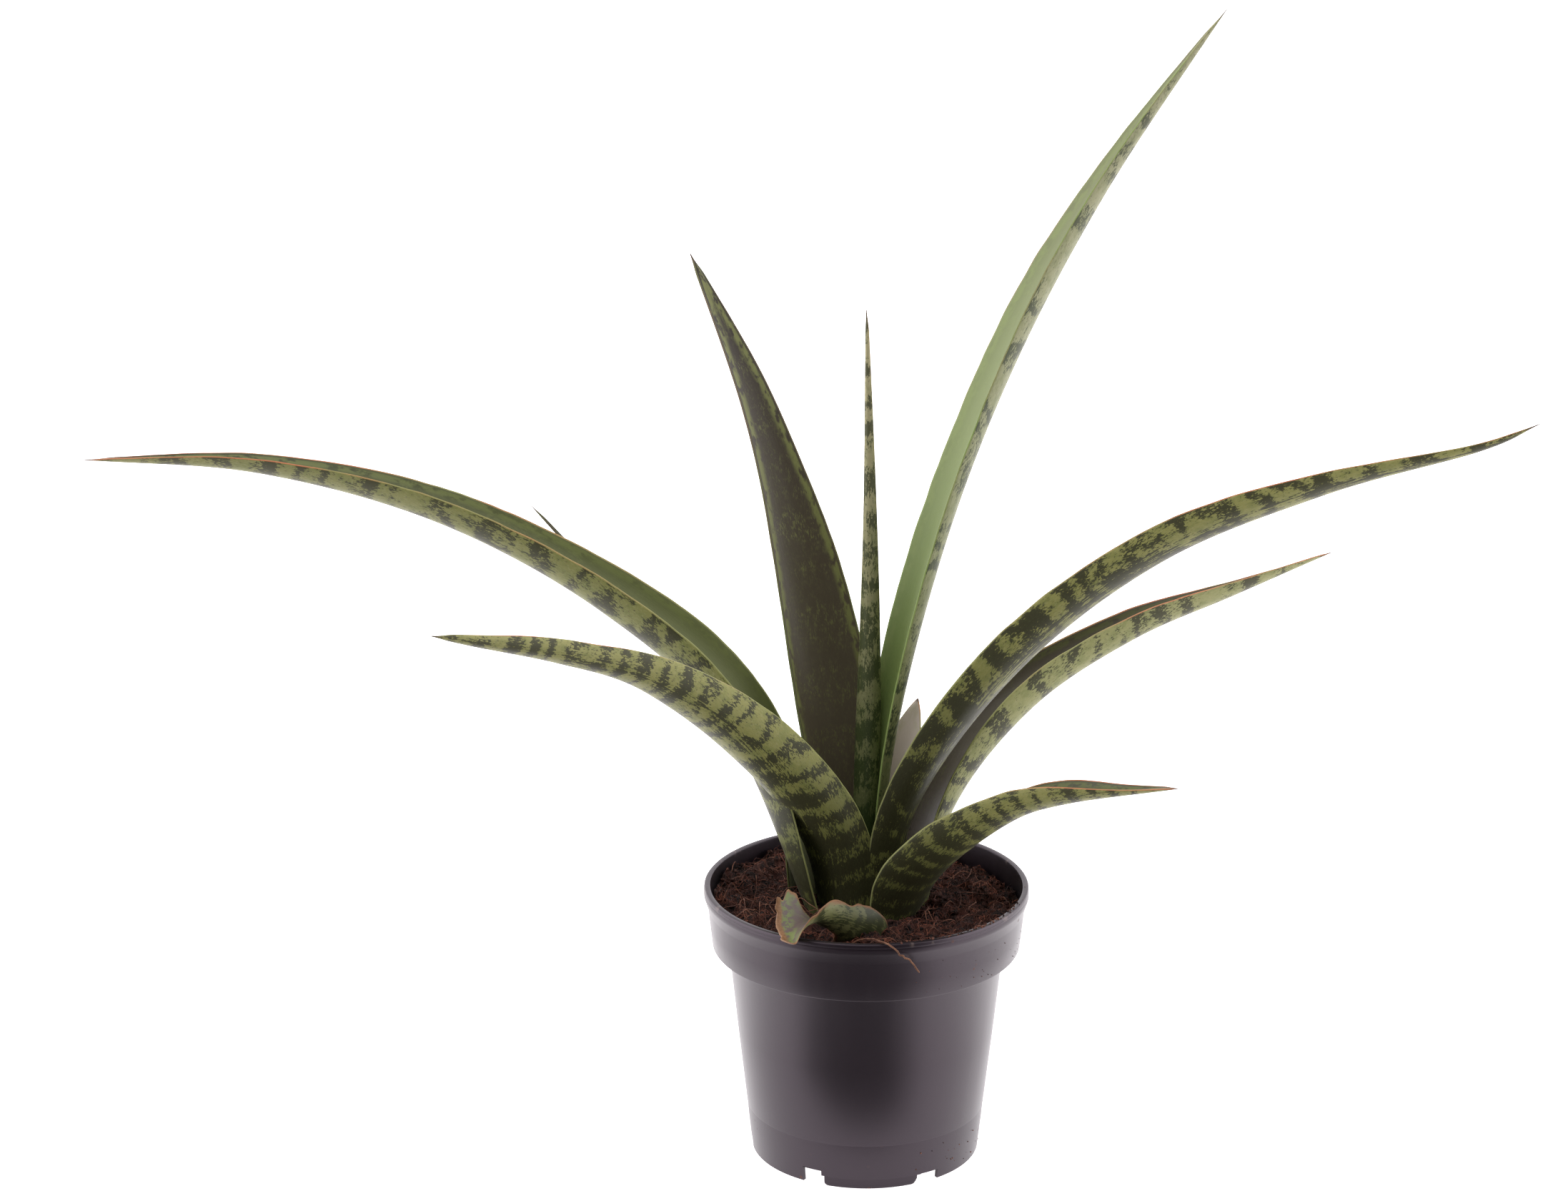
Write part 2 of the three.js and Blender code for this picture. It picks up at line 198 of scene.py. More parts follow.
skirt_heights = [SEAM, 14 * MM, 10 * MM, 7.5 * MM, 5.2 * MM, 5 * MM, 3 * MM, 1.8 * MM, 1.5 * MM]
skirt = turned(pot, [(wall_radius(z) - (0.12 * MM if z == SEAM else 0), z) for z in skirt_heights])
cut = []
for face in skirt:
    middle = face.calc_center_median()
    away = heading(middle)
    top = 5 * MM
    if FOOT_HALF < abs(away) < FOOT_HALF + NOTCH:
        top = 7.5 * MM if away < 0 else 5.2 * MM
    if abs(away) < FOOT_HALF + NOTCH and middle.z < top:
        cut.append(face)
skirt = [f for f in skirt if f not in set(cut)]
bmesh.ops.delete(pot, geom=cut, context="FACES")
for point in {v for f in skirt for v in f.verts}:
    away = heading(point.co)
    if abs(away) < FOOT_HALF and point.co.z < 5.1 * MM:     # the recess climbs to the taller notch
        near = max(0.0, 1 - (away + FOOT_HALF) / 6)
        point.co.z += 2.4 * MM * near * near
bmesh.ops.solidify(pot, geom=skirt, thickness=WALL)

floor_plate = turned(pot, [(r * MM, 7.6 * MM) for r in (41.1, 39.6, 32.8, 18, 0.01)])
slots = [f for f in floor_plate
         if abs(abs(heading(f.calc_center_median())) - FOOT_HALF - NOTCH / 2) < 3
         and 32.8 * MM < f.calc_center_median().xy.length < 39.6 * MM]
floor_plate = [f for f in floor_plate if f not in set(slots)]
bmesh.ops.delete(pot, geom=slots, context="FACES")
bmesh.ops.solidify(pot, geom=floor_plate, thickness=-1.4 * MM)

feet = turned(pot, [(r * MM, z * MM)
                    for r, z in [(39.9, 8), (39.85, 4), (39.8, 1.2), (39.7, 0.3), (39.5, 0)]])
gaps = [f for f in feet if abs(heading(f.calc_center_median())) > FOOT_HALF]
feet = [f for f in feet if f not in set(gaps)]
bmesh.ops.delete(pot, geom=gaps, context="FACES")
for point in {v for f in feet for v in f.verts}:            # rounded lower corners
    into = max(0.0, 1 - (FOOT_HALF - abs(heading(point.co))) / 2.6)
    if point.co.z < 2 * MM:
        point.co.z += 1.9 * MM * (1 - math.sqrt(max(0.0, 1 - into * into)))
bmesh.ops.solidify(pot, geom=feet, thickness=1.6 * MM)


def finish_mesh(name, bm, skin, stands_for=(), sharp=None):
    """Turns the faces outwards, shades them smoothly and hands the piece over to the frame."""
    bmesh.ops.recalc_face_normals(bm, faces=bm.faces)
    piece = bpy.data.objects.new(name, bpy.data.meshes.new(name))
    bm.to_mesh(piece.data)
    bm.free()
    piece.data.shade_smooth()
    if sharp:
        piece.data.set_sharp_from_angle(angle=math.radians(sharp))
    piece.data.materials.append(skin)
    bpy.context.scene.collection.objects.link(piece)
    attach(piece, "root")
    if stands_for:
        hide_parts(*stands_for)
    return piece


def new_material(name, roughness, specular):
    made = bpy.data.materials.new(name)
    made.use_nodes = True
    shader = made.node_tree.nodes["Principled BSDF"]
    shader.inputs["Roughness"].default_value = roughness
    shader.inputs["Specular IOR Level"].default_value = specular
    return made, made.node_tree, shader


def stretched(tree, place, scale, shift=0.0):
    """The same coordinates with each axis scaled, and moved so that no two patterns match."""
    return node(tree, "Mapping", {"Vector": place, "Scale": scale,
                                  "Location": (shift, shift * 0.7, shift * 1.3)}).outputs[0]


def grain(tree, place, scale=1.0, detail=3.0, rough=0.55):
    """Soft random cloud, 0 to 1 about 0.5."""
    return node(tree, "TexNoise", {"Vector": place, "Scale": scale, "Detail": detail,
                                   "Roughness": rough}).outputs[0]


def blend(tree, share, first, second, kind="MIX"):
    return node(tree, "Mix", {0: share, 6: first, 7: second}, data_type="RGBA",
                blend_type=kind).outputs[2]


def maths(tree, operation, first, second=0.0, third=0.0, clamp=False):
    return node(tree, "Math", {0: first, 1: second, 2: third}, operation=operation,
                use_clamp=clamp).outputs[0]


def relief(tree, shader, height, strength, distance):
    bump = node(tree, "Bump", {"Height": height, "Strength": strength, "Distance": distance})
    tree.links.new(bump.outputs[0], shader.inputs["Normal"])


POT_DARK, POT_LIGHT = (0.0038, 0.002, 0.0036, 1), (0.0062, 0.0038, 0.0058, 1)
DUST, MUD = (0.2, 0.155, 0.13, 1), (0.06, 0.026, 0.015, 1)
plastic, tree, shader = new_material("dark_plastic", 0.4, 0.5)
shader.inputs["Sheen Weight"].default_value = 0.03
shader.inputs["Sheen Roughness"].default_value = 0.3
shader.inputs["Sheen Tint"].default_value = (1, 0.93, 0.99, 1)
shader.inputs["Specular Tint"].default_value = (1, 0.84, 0.97, 1)
place = node(tree, "TexCoord").outputs["Object"]
at = node(tree, "SeparateXYZ", {0: place})
cloud = grain(tree, stretched(tree, place, (28, 28, 12)), detail=4)
flow = grain(tree, stretched(tree, place, (160, 160, 9), 3), detail=3)
fine = grain(tree, stretched(tree, place, (900, 900, 900), 5), detail=2)
colour = blend(tree, rising(tree, cloud, 0.35, 0.7), POT_DARK, POT_LIGHT)
film = maths(tree, "MULTIPLY", rising(tree, flow, 0.45, 0.75),
             rising(tree, at.outputs["Z"], 0.03, 0.11, 0.003, 0.012))
colour = blend(tree, film, colour, DUST)
patches = grain(tree, stretched(tree, place, (210, 210, 80), 9), detail=4)
on_rim = rising(tree, at.outputs["Z"], POT_HEIGHT - 2.2 * MM, POT_HEIGHT - 0.4 * MM)
rim_dirt = maths(tree, "MULTIPLY", on_rim, rising(tree, patches, 0.6, 0.68, 0, 0.3))
colour = blend(tree, rim_dirt, colour, DUST)
spots = node(tree, "TexVoronoi", {"Vector": stretched(tree, place, (240, 240, 240), 2), "Scale": 1.0})
some = rising(tree, node(tree, "SeparateColor", {0: spots.outputs["Color"]}).outputs[0], 0.82, 0.86)
side = maths(tree, "MULTIPLY", rising(tree, at.outputs["X"], 0.03, 0.075),
             rising(tree, at.outputs["Z"], 0.075, 0.09))
foot_side = rising(tree, at.outputs["Z"], 0.022, 0.004)
splash = maths(tree, "ADD", side, foot_side, clamp=True)
speck = maths(tree, "MULTIPLY", rising(tree, spots.outputs["Distance"], 0.2, 0.1), some)
speck = maths(tree, "MULTIPLY", speck, splash)
colour = blend(tree, speck, colour, MUD)
tree.links.new(colour, shader.inputs["Base Color"])
dull = maths(tree, "ADD", rising(tree, flow, 0.3, 0.75, 0.33, 0.35), maths(tree, "MULTIPLY", speck, 0.4))
tree.links.new(dull, shader.inputs["Roughness"])
relief(tree, shader, maths(tree, "ADD", fine, maths(tree, "MULTIPLY", speck, 2)), 0.08, 0.12 * MM)

bmesh.ops.remove_doubles(pot, verts=pot.verts, dist=0.005 * MM)
bmesh.ops.translate(pot, vec=AXIS, verts=pot.verts)
finish_mesh("nursery_pot", pot, plastic, ["pot"], sharp=35)

# ---- the soil ----
# Loose coir potting mix, red-brown and fibrous, banked up against the wall on the left and back:
# one lumpy body, with loose crumbs and a few thousand short curled coconut fibres lying on it.
SOIL_LEVEL = 94.5 * MM
SOIL_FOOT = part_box("soil")[0].z
SOIL_EDGE = 56 * MM               # how far out crumbs and fibres lie
CRUMBS, SHORT_FIBRES, LONG_FIBRES, TUFT_FIBRES = 1500, 3400, 120, 26


def soil_height(x, y):
    """Height of the soil at x, y metres from the pot's axis."""
    a, b = x / MM, y / MM
    wall = (a * a + b * b) / 55 ** 2
    lumps = math.sin(a * 0.21 + 1.3) * math.cos(b * 0.17 - 0.4) + 0.6 * math.sin(a * 0.09 - b * 0.26)
    rough = noise.fractal(Vector((a, b, 3.1)) / 5.5, 0.75, 2.2, 4)
    return SOIL_LEVEL + (wall * (3.5 - 0.02 * a - 0.0006 * a * b) + 0.9 * lumps + 2.5 * rough) * MM


soil = bmesh.new()
rings = [56.3 * i / 70 * MM for i in range(70, 0, -1)] + [0.01 * MM]
turned(soil, [(0.01 * MM, SOIL_FOOT), (40.9 * MM, SOIL_FOOT), (49.4 * MM, step_z + WALL + 0.2 * MM),
              (55.2 * MM, step_z + WALL + 0.4 * MM), (55.8 * MM, 92 * MM)]
       + [(r, SOIL_LEVEL) for r in rings], steps=240)
bmesh.ops.remove_doubles(soil, verts=soil.verts, dist=0.05 * MM)
for point in soil.verts:
    if point.co.z > 93 * MM:
        point.co.z = soil_height(point.co.x, point.co.y)
bmesh.ops.holes_fill(soil, edges=[e for e in soil.edges if e.is_boundary], sides=0)
bmesh.ops.translate(soil, vec=AXIS, verts=soil.verts)

coir, tree, shader = new_material("coir_mix", 0.9, 0.25)
place = node(tree, "TexCoord").outputs["Object"]
lump = grain(tree, stretched(tree, place, (260, 260, 260)), detail=5, rough=0.65)
thread = grain(tree, stretched(tree, place, (1500, 350, 900), 4), detail=4, rough=0.7)
# Darker in the hollows of the bumps and lighter on their tops: partly the mix's own patchy tone, partly
# painted shade in the hollows.
colour = blend(tree, rising(tree, lump, 0.38, 0.62), (0.004, 0.0012, 0.0009, 1), (0.055, 0.016, 0.01, 1))
colour = blend(tree, rising(tree, thread, 0.52, 0.7, 0, 0.8), colour, (0.12, 0.042, 0.023, 1))
tree.links.new(colour, shader.inputs["Base Color"])
tree.links.new(rising(tree, thread, 0.3, 0.7, 1.0, 0.75), shader.inputs["Roughness"])
relief(tree, shader, maths(tree, "ADD", lump, thread), 1.0, 2 * MM)
finish_mesh("coir_soil", soil, coir, ["soil"])

crumbs = bmesh.new()
chance = random.Random(11)
for _ in range(CRUMBS):
    turn, out = chance.uniform(0, math.tau), SOIL_EDGE * math.sqrt(chance.random())
    x, y = out * math.cos(turn), out * math.sin(turn)
    size = chance.uniform(0.3, 0.95) * MM * (1 + 0.8 * (chance.random() > 0.93))
    made = bmesh.ops.create_icosphere(crumbs, subdivisions=1, radius=size)["verts"]
    stretch = chance.uniform(0.7, 1.5), chance.uniform(0.6, 1.2), chance.uniform(0.5, 0.9)
    bmesh.ops.scale(crumbs, vec=stretch, verts=made)
    for point in made:
        point.co *= chance.uniform(0.75, 1.25)
    bmesh.ops.translate(crumbs, vec=(x, y, soil_height(x, y) + 0.3 * size), verts=made)
bmesh.ops.translate(crumbs, vec=AXIS, verts=crumbs.verts)
finish_mesh("soil_crumbs", crumbs, coir)


def fibre_skin(name, dark, pale):
    made, tree, shader = new_material(name, 0.75, 0.3)
    place = node(tree, "TexCoord").outputs["Object"]
    mottle = grain(tree, stretched(tree, place, (170, 170, 170)), detail=3, rough=0.7)
    fine = grain(tree, stretched(tree, place, (2600, 2600, 2600), 2), detail=2)
    colour = blend(tree, rising(tree, mottle, 0.36, 0.66), dark, pale)
    colour = blend(tree, rising(tree, fine, 0.4, 0.7, 0, 0.4), colour, dark)
    tree.links.new(colour, shader.inputs["Base Color"])
    tree.links.new(rising(tree, fine, 0.3, 0.7, 0.6, 0.85), shader.inputs["Roughness"])
    relief(tree, shader, fine, 0.5, 0.1 * MM)
    return made


def threads(name, lines, thickness, skin, stands_for=(), taper=0.35, sides=0, steps=1):
    """Thin strands, one for each list of points, thinner at both ends. sides and steps are the
    curve's own bevel and length resolution: 0 and 1 keep a strand to a few dozen faces."""
    line = bpy.data.curves.new(name, "CURVE")
    line.dimensions = "3D"
    line.bevel_depth, line.bevel_resolution, line.resolution_u = thickness, sides, steps
    line.use_fill_caps = True
    for points, size in lines:
        strand = line.splines.new("NURBS")
        strand.points.add(len(points) - 1)
        strand.order_u = 3
        strand.use_endpoint_u = True
        for i, (knot, point) in enumerate(zip(strand.points, points)):
            knot.co = (*point, 1)
            knot.radius = size * (taper if i in (0, len(points) - 1) else 1)
    line.materials.append(skin)
    piece = bpy.data.objects.new(name, line)
    bpy.context.scene.collection.objects.link(piece)
    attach(piece, "root")
    if stands_for:
        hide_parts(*stands_for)
    return piece


def fibre(chance, x, y, length, lift, curl):
    """One curled fibre that starts on the soil at x, y and wanders close over it."""
    points, way = [], chance.uniform(0, math.tau)
    bend = chance.uniform(-curl, curl)
    count = 6
    for i in range(count):
        share = i / (count - 1)
        rise = lift * math.sin(math.pi * share) * chance.uniform(0.7, 1.2)
        high = soil_height(x, y) + rise + 0.1 * MM
        points.append(Vector((x, y, high)) + AXIS)
        way += bend + chance.uniform(-0.5, 0.5)
        x += length / count * math.cos(way)
        y += length / count * math.sin(way)
        out = math.hypot(x, y)
        if out > SOIL_EDGE:
            x, y = x * SOIL_EDGE / out, y * SOIL_EDGE / out
    return points


chance = random.Random(5)
mat, loose = [], []
for _ in range(SHORT_FIBRES):
    turn, out = chance.uniform(0, math.tau), SOIL_EDGE * math.sqrt(chance.random())
    mat.append((fibre(chance, out * math.cos(turn), out * math.sin(turn), chance.uniform(2, 8) * MM,
                      chance.uniform(0, 1.6) * MM, 0.9), chance.uniform(0.4, 1.5)))
for _ in range(LONG_FIBRES):
    turn, out = chance.uniform(0, math.tau), 55 * MM * math.sqrt(chance.random())
    loose.append((fibre(chance, out * math.cos(turn), out * math.sin(turn), chance.uniform(9, 22) * MM,
                        chance.uniform(0.8, 4) * MM, 0.4), chance.uniform(0.6, 1.5)))
for _ in range(TUFT_FIBRES):                                # the tuft that stands up at the left
    x, y = chance.uniform(-45, -24) * MM, chance.uniform(-22, 4) * MM
    loose.append((fibre(chance, x, y, chance.uniform(12, 24) * MM, chance.uniform(3, 8) * MM, 0.35),
                  chance.uniform(0.8, 1.5)))
threads("coir_fibres", mat, 0.12 * MM,
        fibre_skin("coir_fibre", (0.011, 0.003, 0.002, 1), (0.19, 0.062, 0.034, 1)))
threads("coir_loose_fibres", loose, 0.13 * MM,
        fibre_skin("coir_pale_fibre", (0.05, 0.016, 0.009, 1), (0.22, 0.1, 0.06, 1)),
        sides=1, steps=3)

# ---- the leaves ----
# Ten stiff, succulent leaves grow from one crown under the soil. Each is a channel that sheathes its
# neighbours at the foot and closes to a dry awl at the tip: banded outside, darker inside, with a
# thin pale margin.
CROWN = AXIS + Vector((-2, 6, 0)) * MM
ACROSS = 18


def between(values, share):
    """A smooth value through evenly spaced numbers or points, at a share from 0 to 1."""
    last = len(values) - 1
    i = max(0, min(int(share * last), last - 1))
    u = share * last - i
    b, c = values[i], values[i + 1]
    a = values[i - 1] if i else 2 * b - c
    d = values[i + 2] if i + 2 <= last else 2 * c - b
    return 0.5 * (2 * b + (c - a) * u + (2 * a - 5 * b + 4 * c - d) * u * u
                  + (3 * b - a - 3 * c + d) * u * u * u)


def step_up(value, low, high):
    share = min(1.0, max(0.0, (value - low) / (high - low)))
    return share * share * (3 - 2 * share)


def keel_line(points):
    """The keel at an even share of its length: place and direction. Also its length."""
    fine = [between(points, i / 400) for i in range(401)]
    run = [0.0]
    for a, b in zip(fine, fine[1:]):
        run.append(run[-1] + (b - a).length)

    @functools.lru_cache(maxsize=None)
    def at(share):
        goal, i = share * run[-1], 1
        while i < 400 and run[i] < goal:
            i += 1
        part = (goal - run[i - 1]) / (run[i] - run[i - 1])
        here = fine[i - 1].lerp(fine[i], part)
        before, after = fine[max(i - 2, 0)], fine[min(i + 1, 400)]
        return here, (after - before).normalized()
    return at, run[-1]


def leaf_body(at, length, side_at, width, curl, roll, thick, rows, wave=0.018, seed=0.0, torn=0.0):
    """A flat grid bent into a channelled leaf, then thickened on its inner side and closed."""
    bm = bmesh.new()
    bmesh.ops.create_grid(bm, x_segments=ACROSS, y_segments=rows, size=1)
    inner = bm.verts.layers.float.new("inner_face")
    margin = bm.verts.layers.float.new("from_margin")
    lie = bm.loops.layers.uv.new("lie")
    share_map = bm.loops.layers.uv.new("share")

    @functools.lru_cache(maxsize=None)
    def section(t):
        keel, forward = at(t)
        side = side_at(t)
        side = (side - forward * forward.dot(side)).normalized()
        inside = forward.cross(side)
        lean = math.radians(between(roll, t))
        side, inside = (side * math.cos(lean) + inside * math.sin(lean),
                        inside * math.cos(lean) - side * math.sin(lean))
        wide = max(between(width, t), 1.6) * (1 if torn else 1 - 0.75 * step_up(t, 0.965, 1)) * MM
        return keel, side, inside, wide, math.radians(between(curl, t))

    for face in bm.faces:
        for loop in face.loops:
            s, t = loop.vert.co.x, (loop.vert.co.y + 1) / 2
            wide = section(round(t, 5))[3]
            loop[lie].uv = (s * wide / 2, t * length)
            loop[share_map].uv = ((s + 1) / 2, t)
    made = bmesh.ops.extrude_face_region(bm, geom=bm.faces[:], use_keep_orig=True)["geom"]
    for part in made:
        if isinstance(part, bmesh.types.BMVert):
            part[inner] = 1.0
    for point in bm.verts:
        s, t = point.co.x, round((point.co.y + 1) / 2, 5)
        if torn:                                            # a ragged end across the leaf
            rip = abs(noise.noise(Vector((s * 3.2, seed, 0))))
            rip += 0.5 * abs(noise.noise(Vector((s * 11, seed, 4))))
            t = t * (1 - torn * rip)
        keel, side, inside, wide, angle = section(t)
        ripple = wave * (noise.noise(Vector((t * length / (11 * MM), seed, 3 if s > 0 else 8)))
                         + 0.5 * noise.noise(Vector((t * length / (4 * MM), seed, 5 if s > 0 else 2))))
        turn = s * angle * (1 + ripple * s * s)
        radius = wide / (2 * angle)
        body = min((thick * (1 - t) + 1.1 * t) * MM, 0.8 * radius, 0.5 * wide) * (1 - 0.6 * s * s)
        away = side * math.sin(turn) - inside * math.cos(turn)
        point[margin] = (1 - abs(s)) * wide / 2
        deep = max(radius - body, 0.12 * radius) if point[inner] > 0.5 else radius
        point.co = keel + inside * radius + away * deep
    return bm


def leaf_skin(name, seed, ground, band, inside, pitch=10, dark=0.1, irregular=1.0, base=70, streaks=1.0,
              fleck=0.5, margin=((0.22, 0.23, 0.085, 1), (0.42, 0.15, 0.07, 1)), dry=0.0, sheen=0.02):
    """Leaf skin that follows the leaf: ground and band are (foot, tip) colours of the outer face,
    inside those of the inner face with its flecks as the third. pitch is the bands' spacing in mm."""
    made, tree, shader = new_material(name, 0.45, 0.22)
    shader.inputs["Sheen Weight"].default_value = sheen
    shader.inputs["Sheen Roughness"].default_value = 0.35
    lie = node(tree, "UVMap", uv_map="lie").outputs[0]
    share = node(tree, "SeparateXYZ", {0: node(tree, "UVMap", uv_map="share").outputs[0]})
    run = node(tree, "SeparateXYZ", {0: lie}).outputs["Y"]
    t = share.outputs["Y"]
    inner = node(tree, "Attribute", attribute_name="inner_face").outputs["Fac"]
    edge = node(tree, "Attribute", attribute_name="from_margin").outputs["Fac"]

    drift = grain(tree, stretched(tree, lie, (30, 26, 1), seed), detail=2)
    cloud = grain(tree, stretched(tree, lie, (45, 105, 1), seed + 3), detail=2)
    blotch = grain(tree, stretched(tree, lie, (420, 190, 1), seed + 7), detail=4, rough=0.6)
    ragged = grain(tree, stretched(tree, lie, (1900, 620, 1), seed + 11), detail=3, rough=0.7)
    streak = grain(tree, stretched(tree, lie, (1250, 42, 1), seed + 17), detail=3, rough=0.6)
    fine = grain(tree, stretched(tree, lie, (2600, 900, 1), seed + 23), detail=2)

    wander = maths(tree, "MULTIPLY", drift, 26 * irregular)
    wave = maths(tree, "SINE", maths(tree, "MULTIPLY_ADD", run, math.tau / (pitch * MM), wander))
    uneven = maths(tree, "MULTIPLY", maths(tree, "SUBTRACT", cloud, 0.5), 2.4 * irregular)
    value = maths(tree, "MULTIPLY_ADD", wave, 0.36, uneven)
    value = maths(tree, "MULTIPLY_ADD", maths(tree, "SUBTRACT", blotch, 0.5), 1.9, value)
    value = maths(tree, "MULTIPLY_ADD", maths(tree, "SUBTRACT", ragged, 0.5), 3.1, value)
    middle = maths(tree, "ABSOLUTE", maths(tree, "SUBTRACT", share.outputs["X"], 0.5))
    near_keel = rising(tree, middle, 0.06, 0.24, 1.0, 0.0)
    keel_streaks = maths(tree, "MULTIPLY", near_keel, maths(tree, "SUBTRACT", streak, 0.44))
    value = maths(tree, "MULTIPLY_ADD", keel_streaks, 3.2 * streaks, value)
    foot = rising(tree, run, 15 * MM, (base + 30) * MM, 0.5, 0.0)
    value = maths(tree, "ADD", value, foot)
    banded = rising(tree, value, 0.2 - dark, 0.31 - dark)

    pale = blend(tree, t, ground[0], ground[1])
    pale = blend(tree, rising(tree, blotch, 0.42, 0.62, 0, 0.35), pale, (0.075, 0.1, 0.022, 1))
    pale = blend(tree, rising(tree, fine, 0.5, 0.72, 0, 0.3), pale, (0.28, 0.28, 0.14, 1))
    pale = blend(tree, rising(tree, run, (base + 35) * MM, 20 * MM, 0, 0.55), pale, (0.045, 0.055, 0.016, 1))
    specks = rising(tree, maths(tree, "MULTIPLY_ADD", cloud, 0.25, ragged), 0.7, 0.78, 0, 0.75)
    pale = blend(tree, specks, pale, band[1])
    deep = blend(tree, t, band[0], band[1])
    deep = blend(tree, rising(tree, ragged, 0.5, 0.75, 0, 0.55), deep, (0.055, 0.066, 0.024, 1))
    outside = blend(tree, banded, pale, deep)

    cells = maths(tree, "ADD", maths(tree, "MULTIPLY", ragged, 0.6), maths(tree, "MULTIPLY", blotch, 0.4))
    flecks = maths(tree, "MULTIPLY", rising(tree, cells, 0.5, 0.62), rising(tree, cloud, 0.35, 0.65, 0.15, 1))
    strip = maths(tree, "MULTIPLY", rising(tree, edge, 0.7 * MM, 1.4 * MM),
                  rising(tree, edge, 4.6 * MM, 2.2 * MM))
    strip = maths(tree, "MULTIPLY", strip, rising(tree, blotch, 0.36, 0.52))
    within = blend(tree, t, inside[0], inside[1])
    within = blend(tree, maths(tree, "MULTIPLY", flecks, fleck), within, inside[2])
    within = blend(tree, maths(tree, "MULTIPLY", strip, min(1.0, fleck + 0.25)), within, inside[2])
    if dry:                                                 # a green blotchy strip along the torn end
        strip = maths(tree, "MULTIPLY", rising(tree, t, 0.78, 0.86), rising(tree, blotch, 0.42, 0.52, 0, 0.9))
        within = blend(tree, strip, within, inside[2])
    colour = blend(tree, inner, outside, within)

    red = maths(tree, "MULTIPLY", rising(tree, t, 0.3, 0.75), rising(tree, drift, 0.35, 0.6))
    lining = blend(tree, red, margin[0], margin[1])
    colour = blend(tree, rising(tree, edge, 0.5 * MM, 0.12 * MM, 0, 0.85), colour, lining)
    brown = blend(tree, ragged, (0.06, 0.025, 0.01, 1), (0.3, 0.16, 0.075, 1))
    colour = blend(tree, rising(tree, t, 0.975, 0.995, 0, 0.85), colour, (0.05, 0.025, 0.016, 1))
    if dry:
        worn = maths(tree, "MULTIPLY_ADD", maths(tree, "SUBTRACT", blotch, 0.5), 3 * MM, edge)
        frayed = maths(tree, "MAXIMUM", rising(tree, worn, dry * MM, 0.3 * dry * MM),
                       rising(tree, maths(tree, "MULTIPLY_ADD", blotch, 0.08, t), 0.95, 1.0))
        colour = blend(tree, frayed, colour, brown)
    shade = rising(tree, run, 10 * MM, 45 * MM, 0.25, 0.0)
    colour = blend(tree, shade, colour, (0.006, 0.006, 0.003, 1))
    tree.links.new(colour, shader.inputs["Base Color"])
    gloss = maths(tree, "MULTIPLY_ADD", blotch, 0.22, maths(tree, "MULTIPLY_ADD", inner, -0.06, 0.36))
    tree.links.new(gloss, shader.inputs["Roughness"])
    height = maths(tree, "ADD", maths(tree, "MULTIPLY", streak, 0.7), maths(tree, "MULTIPLY", fine, 0.4))
    relief(tree, shader, height, 0.25, 0.25 * MM)
    return made


def finish_leaf(name, bm, skin, node_name):
    piece = finish_mesh(name, bm, skin, [node_name])
    rounded = piece.modifiers.new("rounded", "SUBSURF")
    rounded.levels = rounded.render_levels = 1
    return piece


def grow(node_name, ring, azimuth, path, width, curl, roll, skin, slot="leaf_mature", thick=2.4, **more):
    """A leaf whose keel leaves the crown at ring mm and follows path, (reach, height) in mm."""
    turn = math.radians(azimuth)
    lean = Vector((math.cos(turn), math.sin(turn), 0))
    across = Vector((-math.sin(turn), math.cos(turn), 0))
    points = [CROWN + lean * (ring + reach) * MM + Vector((0, 0, height * MM)) for reach, height in path]
    at, length = keel_line(points)
    bm = leaf_body(at, length, lambda t: across, width, curl, roll, thick,
                   rows=max(40, round(length / (2.6 * MM))), **more)
    return finish_leaf(node_name + "_blade", bm, skin, node_name)


GROUND = ((0.17, 0.17, 0.047, 1), (0.235, 0.23, 0.08, 1))
BAND = ((0.025, 0.025, 0.0095, 1), (0.048, 0.047, 0.021, 1))
INSIDE = ((0.035, 0.04, 0.014, 1), (0.05, 0.05, 0.026, 1), (0.1, 0.12, 0.036, 1))

grow("leaf_centre_rolled", -4.6, 80, [(0, 84), (8, 162), (14, 241), (10, 320)],
     [16, 17.5, 18, 14.5, 10, 6, 2], [110, 110, 110], [180, 160, 163],
     leaf_skin("leaf_skin_rolled", 1.7, ((0.03, 0.055, 0.006, 1), (0.33, 0.3, 0.17, 1)),
               ((0.014, 0.034, 0.004, 1), (0.08, 0.077, 0.04, 1)),
               ((0.015, 0.03, 0.005, 1), (0.045, 0.045, 0.025, 1), (0.06, 0.09, 0.02, 1)),
               pitch=17, dark=0.25, base=40, streaks=0.3, irregular=0.7),
     slot="leaf_young", thick=1.5, seed=1.0, wave=0.01)
grow("leaf_right_tall", 8, 22, [(0, 84), (4, 152), (23, 227), (50, 293), (86, 355), (134, 420)],
     [22, 25.5, 33, 36, 36, 21, 2], [80, 53, 73], [0, -14, -21],
     leaf_skin("leaf_skin_tall", 4.1, ((0.16, 0.185, 0.065, 1), (0.22, 0.215, 0.125, 1)),
               ((0.035, 0.052, 0.016, 1), (0.055, 0.058, 0.03, 1)),
               ((0.17, 0.25, 0.065, 1), (0.14, 0.14, 0.082, 1), (0.2, 0.25, 0.09, 1)),
               pitch=22, dark=-0.05, base=20, streaks=0.5, fleck=0.22,
               margin=((0.2, 0.27, 0.08, 1), (0.25, 0.2, 0.11, 1))), seed=2.0)
